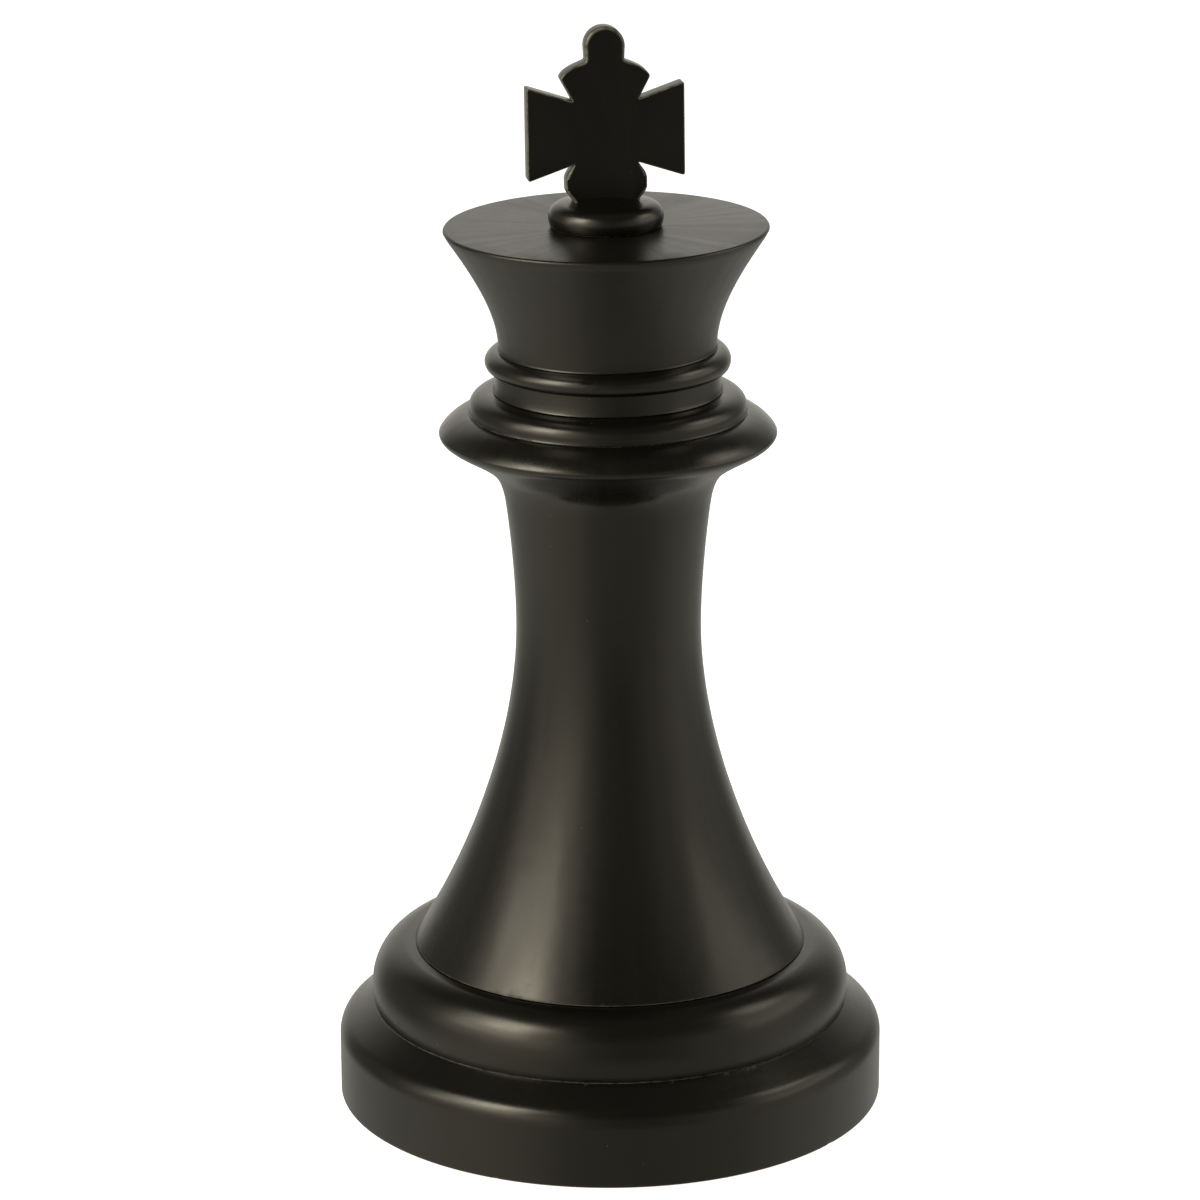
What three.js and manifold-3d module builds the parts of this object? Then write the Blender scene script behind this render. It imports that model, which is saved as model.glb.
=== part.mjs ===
// A giant lawn chess king, 638 mm high on a 320 mm plinth: hollow moulded sections stacked
// on one steel tie rod, a sand ballast in the plinth, and a cross finial that unscrews.
// Units are millimetres and +Z is up. The origin is on the ground, on the king's own axis,
// and the broad face of the cross looks along -Y.
import * as THREE from 'three';
import { mergeVertices } from 'three/addons/utils/BufferGeometryUtils.js';
import Module from 'manifold-3d';

const wasm = await Module();
wasm.setup();

// ---------------------------------------------------------------- driving dimensions
// Heights are measured from the plinth's lower edge, which stands PAD_THICKNESS off the ground.
const PAD_THICKNESS = 2;
const PLINTH_RADIUS = 160;
const RING_HEIGHT = 55.5; // joint of the plinth and the base ring
const STEM_HEIGHT = 92; // joint of the base ring and the stem
const WAIST_HEIGHT = 286.8; // where the stem is slimmest
const WAIST_RADIUS = 53.6;
const LIP_HEIGHT = 401; // widest edge of the lower collar
const LIP_RADIUS = 97;
const COLLAR_HEIGHT = 413; // joint of the lower and the upper collar
const NECK_HEIGHT = 425.8; // joint of the upper collar and the neck
const CROWN_HEIGHT = 450.2; // joint of the neck and the crown
const CROWN_TOP = 521.2;
const CROWN_RADIUS = 92.7;
const CROSS_RISE = 114.8; // top of the cross above the crown
const CROSS_HALF_SPAN = 44.9;
const CROSS_THICKNESS = 11.5;
const BUTTON_RADIUS = 33;

const SEAM = 0.3; // hairline left at every joint
const WALL = 4.5; // moulded wall
const SPIGOT_DEPTH = 5; // each section plugs this deep into the one below it
const SIDES = 36; // facets of the large round parts
const SMALL_SIDES = 18;

// M10 hardware
const ROD_RADIUS = 5;
const NUT_RADIUS = 9.8; // across the corners, halved
const NUT_THICKNESS = 8;
const ROD_HOLE_RADIUS = 6;
const WELL_RADIUS = 18; // well in the crown's top that holds the upper nut
const WELL_FLOOR = CROWN_TOP - 12;
const ROD_TOP = CROWN_TOP + 10;

// base
const BOARD_THICKNESS = 18;
const BOARD_RADIUS = PLINTH_RADIUS - WALL - 2 * SEAM;
const FIXING_RING_INNER = 138; // timber ring bonded in the plinth, which the screws bite into
const FIXING_RING_OUTER = 152;
const FIXING_RING_TOP = 34;
const LID_THICKNESS = 6;
const SCREW_COUNT = 8;
const SCREW_CIRCLE = 146;
const SCREW_LENGTH = 30;
const NUT_RECESS_RADIUS = 26;
const NUT_RECESS_DEPTH = 11.5;
const FILLER_CENTRE = new THREE.Vector2(0, -84);
const FILLER_RADIUS = 16; // thread of the filler plug, halved
const FILLER_FLANGE_RADIUS = 24;
const FILLER_RECESS_DEPTH = 6;

// ---------------------------------------------------------------- materials
const finish = (color, roughness, metalness = 0) =>
  new THREE.MeshStandardMaterial({ color, roughness, metalness });
const lacquer = finish(0x1b1915, 0.38);
const steel = finish(0xa9adb0, 0.4, 1);
const brass = finish(0xb08d4a, 0.35, 1);
const rubber = finish(0x1d1d1e, 0.9);
const plywood = finish(0xb08a5c, 0.8);
const beech = finish(0xc9a06c, 0.7);
const sand = finish(0xb9a27c, 0.95);
const moulding = finish(0x3a3c3d, 0.5);

// ---------------------------------------------------------------- outlines
// An outline is a list of [radius, height]. It climbs the outside and comes down the inside.
const bezier = (a, b, c, d, steps) =>
  new THREE.CubicBezierCurve(...[a, b, c, d].map((p) => new THREE.Vector2(...p)))
    .getPoints(steps)
    .map((p) => [p.x, p.y]);

function ellipseArc([cx, cz], rx, rz, fromDegrees, toDegrees, steps) {
  return Array.from({ length: steps + 1 }, (_, i) => {
    const angle = THREE.MathUtils.degToRad(fromDegrees + ((toDegrees - fromDegrees) * i) / steps);
    return [cx + rx * Math.cos(angle), cz + rz * Math.sin(angle)];
  });
}

// A solid of revolution about +Z from a closed outline.
function turned(outline, sides = SIDES) {
  const points = [...outline, outline[0]].map(([r, z]) => new THREE.Vector2(r, z));
  return new THREE.LatheGeometry(points, sides).rotateX(Math.PI / 2);
}

const ring = (inner, outer, low, high, sides = SIDES) =>
  turned([[outer, low], [outer, high], [inner, high], [inner, low]], sides);

function rod(radius, low, high, sides = SMALL_SIDES) {
  const height = high - low;
  return new THREE.CylinderGeometry(radius, radius, height, sides)
    .rotateX(Math.PI / 2)
    .translate(0, 0, low + height / 2);
}

// ---------------------------------------------------------------- cutting
function toManifold(geometry) {
  const bare = geometry.clone();
  bare.deleteAttribute('normal');
  bare.deleteAttribute('uv');
  const merged = mergeVertices(bare, 1e-4);
  return new wasm.Manifold(new wasm.Mesh({
    numProp: 3,
    vertProperties: new Float32Array(merged.attributes.position.array),
    triVerts: new Uint32Array(merged.index.array),
  }));
}

function fromManifold(solid) {
  const { vertProperties, triVerts } = solid.getMesh();
  const geometry = new THREE.BufferGeometry();
  geometry.setAttribute('position', new THREE.BufferAttribute(vertProperties, 3));
  geometry.setIndex(new THREE.BufferAttribute(triVerts, 1));
  geometry.computeVertexNormals();
  return geometry;
}

const cut = (geometry, ...tools) =>
  fromManifold(tools.reduce((solid, tool) => solid.subtract(toManifold(tool)), toManifold(geometry)));

// ---------------------------------------------------------------- the group
const king = new THREE.Group();
const aboveGround = new THREE.Group();
aboveGround.position.z = PAD_THICKNESS;
king.add(aboveGround);

function add(name, geometry, material, x = 0, y = 0) {
  const mesh = new THREE.Mesh(geometry, material);
  mesh.name = name;
  mesh.position.set(x, y, 0);
  aboveGround.add(mesh);
}

// Places spread evenly on a circle, the first at startDegrees from +X.
function onCircle(count, radius, startDegrees) {
  return Array.from({ length: count }, (_, i) => {
    const angle = THREE.MathUtils.degToRad(startDegrees) + (2 * Math.PI * i) / count;
    return [radius * Math.cos(angle), radius * Math.sin(angle)];
  });
}

// ---------------------------------------------------------------- locating pegs
// Two pegs across each of the two widest joints stop the sections from turning.
const PEG_RADIUS = 4;
const PEG_REACH = 3.5; // into each side of the joint
const PEG_CIRCLES = { plinth: 128, stem: 106 };
const PEG_HEIGHTS = { plinth: RING_HEIGHT, stem: STEM_HEIGHT };
const pegPlaces = (joint) => onCircle(2, PEG_CIRCLES[joint], joint === 'plinth' ? 0 : 90);
const pegHoles = (joint) => pegPlaces(joint).map(([x, y]) =>
  rod(PEG_RADIUS + SEAM, PEG_HEIGHTS[joint] - PEG_REACH - SEAM, PEG_HEIGHTS[joint] + PEG_REACH + SEAM)
    .translate(x, y, 0));

function addPegs(joint) {
  pegPlaces(joint).forEach(([x, y], i) => {
    const height = PEG_HEIGHTS[joint];
    const peg = rod(PEG_RADIUS, height - PEG_REACH, height + PEG_REACH, 12);
    add(`${joint}_peg_${i + 1}`, peg, beech, x, y);
  });
}

// ---------------------------------------------------------------- plinth
const BEVEL_DEGREES = 32; // slope of the plinth's shoulder
const CORNER_RADIUS = 13; // round between its wall and its shoulder
const PLINTH_TOP_RADIUS = 138.8;
const PLINTH_WALL_HEIGHT = 35;
const FLANGE_THICKNESS = 6; // flat ring that a section sits on
const PLINTH_BORE = 118;

function plinthShell() {
  const turn = 90 - BEVEL_DEGREES;
  const corner = [PLINTH_RADIUS - CORNER_RADIUS, PLINTH_WALL_HEIGHT];
  const inner = CORNER_RADIUS - WALL;
  const flangeLow = RING_HEIGHT - FLANGE_THICKNESS;
  const shell = turned([
    [PLINTH_RADIUS, 0],
    ...ellipseArc(corner, CORNER_RADIUS, CORNER_RADIUS, 0, turn, 4),
    [PLINTH_TOP_RADIUS, RING_HEIGHT],
    [PLINTH_BORE, RING_HEIGHT],
    [PLINTH_BORE, flangeLow],
    [PLINTH_TOP_RADIUS - WALL / 2, flangeLow],
    ...ellipseArc(corner, inner, inner, turn, 0, 2),
    [PLINTH_RADIUS - WALL, 0],
  ]);
  return cut(shell, ...pegHoles('plinth'));
}

// ---------------------------------------------------------------- base ring
const RING_RADIUS = 140.3;
const RING_WIDEST = 66;
const RING_ROUND = 22; // half-width of its rounded shoulder
const RING_BORE = 98;

function baseRing() {
  const centre = [RING_RADIUS - RING_ROUND, RING_WIDEST];
  const low = RING_HEIGHT + SEAM;
  const shoulder = STEM_HEIGHT - RING_WIDEST;
  const footDegrees = 17.5;
  const footDrop = (RING_WIDEST - low) / Math.sin(THREE.MathUtils.degToRad(footDegrees));
  const floor = low + FLANGE_THICKNESS;
  const ceiling = STEM_HEIGHT - FLANGE_THICKNESS;
  const body = turned([
    ...ellipseArc(centre, RING_ROUND, footDrop, -footDegrees, 0, 2),
    ...ellipseArc(centre, RING_ROUND, shoulder, 0, 85, 6).slice(1),
    [RING_BORE, STEM_HEIGHT],
    [RING_BORE, ceiling],
    [RING_RADIUS - RING_ROUND + 6, ceiling],
    [RING_RADIUS - WALL - 3, ceiling - 9],
    [RING_RADIUS - WALL, RING_WIDEST],
    [RING_RADIUS - WALL, floor],
    [PLINTH_BORE - WALL, floor],
    [PLINTH_BORE - WALL, RING_HEIGHT - SPIGOT_DEPTH],
    [PLINTH_BORE - SEAM, RING_HEIGHT - SPIGOT_DEPTH],
    [PLINTH_BORE - SEAM, low],
  ]);
  return cut(body, ...pegHoles('plinth'), ...pegHoles('stem'));
}

// ---------------------------------------------------------------- stem and lower collar
const STEM_FOOT_RADIUS = 114.9;
const STEM_FOOT_DEGREES = 32.5; // the flare leaves its foot this far from vertical
const COLLAR_JOINT_RADIUS = 80;
const COLLAR_BORE = 60;
const COLLAR_ROOT = [59.6, 362.5]; // where the stem turns out into the lower collar
const COLLAR_UNDERSIDE = [72.3, 383.4]; // start of the collar's conical underside

function stemShell() {
  const foot = [STEM_FOOT_RADIUS, STEM_HEIGHT + SEAM];
  const lean = THREE.MathUtils.degToRad(STEM_FOOT_DEGREES);
  const pull = 52.5; // length of the flare's control arm at its foot
  const afterFoot = [foot[0] - pull * Math.sin(lean), foot[1] + pull * Math.cos(lean)];
  const outerFlare = bezier(foot, afterFoot, [WAIST_RADIUS, 214], [WAIST_RADIUS, WAIST_HEIGHT], 8);
  const outerNeck = bezier([WAIST_RADIUS, WAIST_HEIGHT], [WAIST_RADIUS, 316.5], [58, 353.6], COLLAR_ROOT, 3);
  const outerFillet = bezier(COLLAR_ROOT, [61.8, 374.8], [66.2, 379], COLLAR_UNDERSIDE, 3);
  const lip = [LIP_RADIUS, LIP_HEIGHT];
  const underside = bezier(COLLAR_UNDERSIDE, [85.3, 392.7], [LIP_RADIUS, 396.1], lip, 4);
  const collarTop = bezier(lip, [LIP_RADIUS, 401.5], [90.5, 411.2], [COLLAR_JOINT_RADIUS, COLLAR_HEIGHT], 4);

  const floor = foot[1] + FLANGE_THICKNESS;
  const innerWaist = WAIST_RADIUS - WALL;
  const innerRoot = [COLLAR_ROOT[0] - WALL, COLLAR_ROOT[1] + 1];
  const ceiling = COLLAR_HEIGHT - WALL;
  const body = turned([
    ...outerFlare,
    ...outerNeck.slice(1),
    ...outerFillet.slice(1),
    ...underside.slice(1),
    ...collarTop.slice(1),
    [COLLAR_BORE, COLLAR_HEIGHT],
    [COLLAR_BORE, ceiling],
    [84, ceiling],
    [LIP_RADIUS - 2 * WALL, LIP_HEIGHT + 1],
    [69, 388.5],
    [58, 376],
    ...bezier(innerRoot, [53.5, 354], [innerWaist, 316.5], [innerWaist, WAIST_HEIGHT], 3),
    ...bezier([innerWaist, WAIST_HEIGHT], [innerWaist, 214], [81.5, 139], [104.5, floor], 5).slice(1),
    [RING_BORE - WALL, floor],
    [RING_BORE - WALL, STEM_HEIGHT - SPIGOT_DEPTH],
    [RING_BORE - SEAM, STEM_HEIGHT - SPIGOT_DEPTH],
    [RING_BORE - SEAM, foot[1]],
  ]);
  return cut(body, ...pegHoles('stem'));
}

// ---------------------------------------------------------------- upper collar and neck
const UPPER_COLLAR_RADIUS = 79.7;
const NECK_RADIUS = 65.5;
const NECK_BORE = COLLAR_BORE - WALL;
const BEAD_RADIUS = 70.4;
const BEAD_WIDEST = 442.6;
const CROWN_FOOT_RADIUS = 62.5;
const CROWN_SPIGOT = NECK_BORE - WALL;

function upperCollar() {
  const low = COLLAR_HEIGHT + SEAM;
  const wallTop = low + 2.6;
  return turned([
    [UPPER_COLLAR_RADIUS, low],
    ...bezier([UPPER_COLLAR_RADIUS, wallTop], [UPPER_COLLAR_RADIUS, wallTop + 4.6],
      [NECK_RADIUS + 11.2, NECK_HEIGHT], [NECK_RADIUS - 1, NECK_HEIGHT], 4),
    [NECK_BORE, NECK_HEIGHT],
    [NECK_BORE, COLLAR_HEIGHT - SPIGOT_DEPTH],
    [COLLAR_BORE - SEAM, COLLAR_HEIGHT - SPIGOT_DEPTH],
    [COLLAR_BORE - SEAM, low],
  ]);
}

function neckRing() {
  const low = NECK_HEIGHT + SEAM;
  const widest = [BEAD_RADIUS, BEAD_WIDEST];
  const beadFoot = [NECK_RADIUS - 0.8, 436];
  return turned([
    [NECK_RADIUS, low],
    ...bezier(beadFoot, [NECK_RADIUS + 3.2, 436.5], [BEAD_RADIUS, BEAD_WIDEST - 4], widest, 3),
    ...bezier(widest, [BEAD_RADIUS, BEAD_WIDEST + 2.5],
      [CROWN_FOOT_RADIUS + 5, CROWN_HEIGHT], [CROWN_FOOT_RADIUS, CROWN_HEIGHT], 3).slice(1),
    [CROWN_SPIGOT, CROWN_HEIGHT],
    [CROWN_SPIGOT, NECK_HEIGHT - SPIGOT_DEPTH],
    [NECK_BORE - SEAM, NECK_HEIGHT - SPIGOT_DEPTH],
    [NECK_BORE - SEAM, low],
  ]);
}

// ---------------------------------------------------------------- crown
const RIM_ROUND = 1.6;

function crownShell() {
  const low = CROWN_HEIGHT + SEAM;
  const floor = low + WALL;
  const rim = [CROWN_RADIUS - RIM_ROUND, CROWN_TOP - RIM_ROUND];
  const flare = bezier([CROWN_FOOT_RADIUS, low], [CROWN_FOOT_RADIUS, 468], [70.7, 487],
    [CROWN_RADIUS - 1.9, CROWN_TOP - 5], 7);
  const innerFoot = CROWN_FOOT_RADIUS - WALL;
  const ceiling = CROWN_TOP - WALL;
  return turned([
    ...flare,
    ...ellipseArc(rim, RIM_ROUND, RIM_ROUND, 0, 90, 3),
    [WELL_RADIUS, CROWN_TOP],
    [WELL_RADIUS, WELL_FLOOR],
    [ROD_HOLE_RADIUS, WELL_FLOOR],
    [ROD_HOLE_RADIUS, WELL_FLOOR - WALL],
    [WELL_RADIUS + WALL, WELL_FLOOR - WALL],
    [WELL_RADIUS + WALL, ceiling],
    ...bezier([CROWN_RADIUS - 8, ceiling], [66, 488.5], [innerFoot, 471], [innerFoot, floor], 4),
    [CROWN_SPIGOT - SEAM - WALL, floor],
    [CROWN_SPIGOT - SEAM - WALL, CROWN_HEIGHT - SPIGOT_DEPTH],
    [CROWN_SPIGOT - SEAM, CROWN_HEIGHT - SPIGOT_DEPTH],
    [CROWN_SPIGOT - SEAM, low],
  ]);
}

add('plinth_shell', plinthShell(), lacquer);
add('base_ring', baseRing(), lacquer);
add('stem_shell', stemShell(), lacquer);
add('upper_collar', upperCollar(), lacquer);
add('neck_ring', neckRing(), lacquer);
add('crown_shell', crownShell(), lacquer);
addPegs('plinth');
addPegs('stem');

// ---------------------------------------------------------------- tie rod and its hardware
const WASHER_RADIUS = 15;
const WASHER_THICKNESS = 2.5;
const PLATE_RADIUS = 25; // wide washer that spreads the clamping load on the base board
const PLATE_THICKNESS = 3;
const THREAD_CLEARANCE = ROD_RADIUS + SEAM;

const nut = (low) => cut(rod(NUT_RADIUS, low, low + NUT_THICKNESS, 6),
  rod(THREAD_CLEARANCE, low - 1, low + NUT_THICKNESS + 1));

const rodWasher = (radius, low, high) => ring(THREAD_CLEARANCE, radius, low, high, SMALL_SIDES);

const upperWasherLow = WELL_FLOOR + SEAM / 3;
const upperNutLow = upperWasherLow + WASHER_THICKNESS;
const plateLow = NUT_RECESS_DEPTH - PLATE_THICKNESS;
const lowerNutLow = plateLow - NUT_THICKNESS;

add('tie_rod', rod(ROD_RADIUS, lowerNutLow, ROD_TOP), steel);
add('upper_rod_washer', rodWasher(WASHER_RADIUS, upperWasherLow, upperNutLow), steel);
add('upper_rod_nut', nut(upperNutLow), steel);
add('lower_rod_plate', rodWasher(PLATE_RADIUS, plateLow, NUT_RECESS_DEPTH), steel);
add('lower_rod_nut', nut(lowerNutLow), steel);

// Two ply discs inside the stem keep the rod on the axis.
const DISC_THICKNESS = 9;
function rodDisc(radius, low) {
  return ring(THREAD_CLEARANCE, radius, low, low + DISC_THICKNESS, SMALL_SIDES);
}
add('stem_lower_disc', rodDisc(RING_BORE - 1, STEM_HEIGHT + FLANGE_THICKNESS + 2 * SEAM), plywood);
add('stem_upper_disc', rodDisc(COLLAR_BORE + 6, COLLAR_HEIGHT - SPIGOT_DEPTH - DISC_THICKNESS - 3), plywood);

// ---------------------------------------------------------------- base
const screwPlaces = onCircle(SCREW_COUNT, SCREW_CIRCLE, 180 / SCREW_COUNT);
const SCREW_SHANK = 2.5;
const SCREW_HEAD = 5;

const baseScrew = () => turned([
  [0, 0.3],
  [SCREW_HEAD, 0.3],
  [SCREW_SHANK, SCREW_HEAD - SCREW_SHANK + 0.3],
  [SCREW_SHANK, SCREW_LENGTH - 4],
  [0, SCREW_LENGTH],
], 12);

// The screw's own shape, one seam larger all round.
const screwHole = ([x, y]) => turned([
  [0, -1],
  [SCREW_HEAD + 1.6, -1],
  [SCREW_SHANK + SEAM, SCREW_HEAD - SCREW_SHANK + 0.6],
  [SCREW_SHANK + SEAM, SCREW_LENGTH + SEAM],
  [0, SCREW_LENGTH + SEAM],
], 12).translate(x, y, 0);

const atFiller = (geometry) => geometry.translate(FILLER_CENTRE.x, FILLER_CENTRE.y, 0);

const baseBoard = () => cut(
  rod(BOARD_RADIUS, 0, BOARD_THICKNESS, SIDES),
  rod(NUT_RECESS_RADIUS, -1, NUT_RECESS_DEPTH + SEAM),
  rod(THREAD_CLEARANCE, -1, BOARD_THICKNESS + 1),
  atFiller(rod(FILLER_FLANGE_RADIUS + SEAM, -1, FILLER_RECESS_DEPTH)),
  atFiller(rod(FILLER_RADIUS + 4 + SEAM, -1, BOARD_THICKNESS + 1)),
  ...screwPlaces.map(screwHole),
);

const boardTop = BOARD_THICKNESS + SEAM;
const lidTop = RING_HEIGHT - FLANGE_THICKNESS - SEAM;
const fixingRing = () => cut(
  ring(FIXING_RING_INNER, FIXING_RING_OUTER, boardTop, FIXING_RING_TOP),
  ...screwPlaces.map(screwHole),
);

add('base_board', baseBoard(), plywood);
add('fixing_ring', fixingRing(), plywood);
add('ballast_lid', ring(THREAD_CLEARANCE, 130, lidTop - LID_THICKNESS, lidTop), plywood);
const sandTop = lidTop - LID_THICKNESS - SEAM;
add('sand_ballast', ring(THREAD_CLEARANCE, FIXING_RING_INNER - 1, boardTop, sandTop), sand);
screwPlaces.forEach(([x, y], i) => add(`base_screw_${i + 1}`, baseScrew(), steel, x, y));

// A rubber ring glued under the board is all that touches the ground.
const PAD_INNER = 40;
const PAD_OUTER = 136;
const groundPad = () => cut(
  ring(PAD_INNER, PAD_OUTER, -PAD_THICKNESS, 0),
  atFiller(rod(FILLER_FLANGE_RADIUS + 3, -PAD_THICKNESS - 1, 1)),
);
add('ground_pad', groundPad(), rubber);

// ---------------------------------------------------------------- filler
// A flanged bush in the board, and a plug that screws up into it against an O-ring.
const FLANGE_LOW = 4;
const BUSH_TOP = BOARD_THICKNESS - 1;
const PLUG_HEAD_RADIUS = 21;
const PLUG_HEAD_LOW = 0.4;
const SEAL_THICKNESS = 1;
const SLOT_WIDTH = 3;

const fillerBush = () => turned([
  [FILLER_FLANGE_RADIUS, FLANGE_LOW],
  [FILLER_FLANGE_RADIUS, FILLER_RECESS_DEPTH - SEAM],
  [FILLER_RADIUS + 4, FILLER_RECESS_DEPTH - SEAM],
  [FILLER_RADIUS + 4, BUSH_TOP],
  [FILLER_RADIUS + SEAM, BUSH_TOP],
  [FILLER_RADIUS + SEAM, FLANGE_LOW],
], SMALL_SIDES);

const plugHeadTop = FLANGE_LOW - SEAL_THICKNESS - SEAM;
const fillerPlug = () => cut(
  turned([
    [0, PLUG_HEAD_LOW],
    [PLUG_HEAD_RADIUS, PLUG_HEAD_LOW],
    [PLUG_HEAD_RADIUS, plugHeadTop],
    [FILLER_RADIUS, plugHeadTop],
    [FILLER_RADIUS, BUSH_TOP - 3],
    [FILLER_RADIUS - 3, BUSH_TOP - 3],
    [FILLER_RADIUS - 3, plugHeadTop + 1],
    [0, plugHeadTop + 1],
  ], SMALL_SIDES),
  new THREE.BoxGeometry(SLOT_WIDTH, 1.5 * PLUG_HEAD_RADIUS, 2.4).translate(0, 0, PLUG_HEAD_LOW),
);
const plugSeal = () =>
  ring(FILLER_RADIUS + SEAM, PLUG_HEAD_RADIUS - 1, plugHeadTop, plugHeadTop + SEAL_THICKNESS, SMALL_SIDES);

add('filler_bush', fillerBush(), moulding, ...FILLER_CENTRE);
add('filler_plug', fillerPlug(), moulding, ...FILLER_CENTRE);
add('plug_seal', plugSeal(), rubber, ...FILLER_CENTRE);

// ---------------------------------------------------------------- finial
// Heights in this section are above the crown's flat top.
const FOOT_LOW = 13; // flat bottom of the cross, in its slot in the button
const FOOT_HALF_WIDTH = 18.5;
const KNOB_RADIUS = 11.5;
const SEAL_TOP = 1.2;
const INSERT_RADIUS = 8;
const INSERT_LENGTH = 10;
const DOWEL_RADIUS = 3;
const DOWEL_SPREAD = 12.5;
const DOWEL_LOW = 4.5;
const DOWEL_HIGH = 25;

// The dome of the button is a shallow cone with a full round edge.
function finialButton() {
  const low = SEAM;
  const solid = turned([
    [0, SEAL_TOP + SEAM],
    [BUTTON_RADIUS - 3.2, SEAL_TOP + SEAM],
    [BUTTON_RADIUS - 3.2, low],
    [BUTTON_RADIUS - 1.5, low],
    ...bezier([BUTTON_RADIUS - 0.9, 1.6], [BUTTON_RADIUS + 0.7, 6], [BUTTON_RADIUS, 12.6], [25, 14.1], 5),
    [5.5, 17.4],
    [0, 17.8],
  ]);
  const slot = new THREE.BoxGeometry(2 * (FOOT_HALF_WIDTH + SEAM), CROSS_THICKNESS + 2 * SEAM, 20)
    .translate(0, 0, FOOT_LOW - SEAM + 10);
  const insertBore = rod(INSERT_RADIUS + SEAM, 0, SEAL_TOP + INSERT_LENGTH + 2 * SEAM);
  return cut(solid, slot, insertBore, ...dowelHoles()).translate(0, 0, CROWN_TOP);
}

const dowelHoles = () => [-DOWEL_SPREAD, DOWEL_SPREAD].map((x) =>
  rod(DOWEL_RADIUS + SEAM, DOWEL_LOW - SEAM, DOWEL_HIGH + SEAM, 12).translate(x, 0, 0));

// Half of the cross, from its foot up to its knob: a lobed foot with flats, side arms and
// a top arm that widen outwards, and a round knob.
const KNOB_CENTRE = CROSS_RISE - KNOB_RADIUS;
const HALF_CROSS = [
  [FOOT_HALF_WIDTH, FOOT_LOW],
  [FOOT_HALF_WIDTH, 15.2],
  [23.1, 20.9],
  [23.1, 30],
  [18.3, 36.8],
  [CROSS_HALF_SPAN, 27.8],
  [CROSS_HALF_SPAN, 81.8],
  [18.8, 73],
  [25.8, 86.2],
  [22.7, 89.9],
  [18.3, 92.4],
  [11, 95.4],
];

function finialCross() {
  const knob = ellipseArc([0, KNOB_CENTRE], KNOB_RADIUS, KNOB_RADIUS, -5, 185, 14);
  const otherHalf = HALF_CROSS.map(([x, z]) => [-x, z]).reverse();
  const outline = [...HALF_CROSS, ...knob, ...otherHalf].map(([x, z]) => new THREE.Vector2(x, z));
  const round = 1;
  const slab = new THREE.ExtrudeGeometry(new THREE.Shape(outline), {
    depth: CROSS_THICKNESS - 2 * round,
    bevelThickness: round,
    bevelSize: round,
    bevelOffset: -round,
    bevelSegments: 2,
  });
  slab.translate(0, 0, round - CROSS_THICKNESS / 2).rotateX(Math.PI / 2);
  return cut(slab, ...dowelHoles()).translate(0, 0, CROWN_TOP);
}

function crossDowel() {
  return rod(DOWEL_RADIUS, DOWEL_LOW, DOWEL_HIGH, 12).translate(0, 0, CROWN_TOP);
}

const finialInsert = () =>
  ring(THREAD_CLEARANCE, INSERT_RADIUS, SEAL_TOP + SEAM, SEAL_TOP + SEAM + INSERT_LENGTH, SMALL_SIDES)
    .translate(0, 0, CROWN_TOP);

const finialSeal = () =>
  ring(WELL_RADIUS + 2, BUTTON_RADIUS - 3.5, SEAM / 3, SEAL_TOP).translate(0, 0, CROWN_TOP);

add('finial_button', finialButton(), lacquer);
add('finial_cross', finialCross(), lacquer);
add('finial_insert', finialInsert(), brass);
add('finial_seal', finialSeal(), rubber);
add('cross_dowel_1', crossDowel(), steel, -DOWEL_SPREAD);
add('cross_dowel_2', crossDowel(), steel, DOWEL_SPREAD);

export default king;
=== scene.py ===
"""Looks of the giant chess king: fine lacquered sections, finial, base and hardware on the CAD frame."""
import math

import bmesh
import bpy
from mathutils import Matrix, Vector, noise


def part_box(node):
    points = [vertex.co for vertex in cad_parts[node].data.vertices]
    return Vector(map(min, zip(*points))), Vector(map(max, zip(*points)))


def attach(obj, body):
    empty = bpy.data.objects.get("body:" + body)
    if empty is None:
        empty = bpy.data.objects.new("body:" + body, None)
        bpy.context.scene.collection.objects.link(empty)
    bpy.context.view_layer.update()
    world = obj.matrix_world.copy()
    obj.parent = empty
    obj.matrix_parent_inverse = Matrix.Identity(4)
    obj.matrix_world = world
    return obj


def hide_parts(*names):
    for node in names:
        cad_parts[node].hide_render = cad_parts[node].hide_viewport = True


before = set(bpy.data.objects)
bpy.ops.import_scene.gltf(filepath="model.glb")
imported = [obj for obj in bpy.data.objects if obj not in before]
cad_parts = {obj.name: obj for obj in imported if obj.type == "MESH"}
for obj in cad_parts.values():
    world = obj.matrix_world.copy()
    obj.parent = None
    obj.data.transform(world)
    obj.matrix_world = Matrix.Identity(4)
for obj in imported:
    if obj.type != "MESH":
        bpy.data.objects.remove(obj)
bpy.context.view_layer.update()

MM = 0.001


# ---------------------------------------------------------------- sizes, in millimetres, read from the frame
def low(node):
    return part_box(node)[0].z / MM


def top(node):
    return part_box(node)[1].z / MM


def radius(node):
    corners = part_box(node)
    return (corners[1].x - corners[0].x) / 2 / MM


def centre_of(node):
    """Where a node's middle is, seen from above."""
    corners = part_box(node)
    return ((corners[0].x + corners[1].x) / 2 / MM, (corners[0].y + corners[1].y) / 2 / MM)


LIFT = low("plinth_shell")  # the sections stand this high off the ground, on the pad
PLINTH_RADIUS = radius("plinth_shell")
RING_Z = top("plinth_shell")
STEM_Z = top("base_ring")
COLLAR_Z = top("stem_shell")
NECK_Z = top("upper_collar")
CROWN_Z = top("neck_ring")
CROWN_TOP = top("crown_shell")
CROWN_RADIUS = radius("crown_shell")
SCREWS = range(1, 9)

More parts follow.
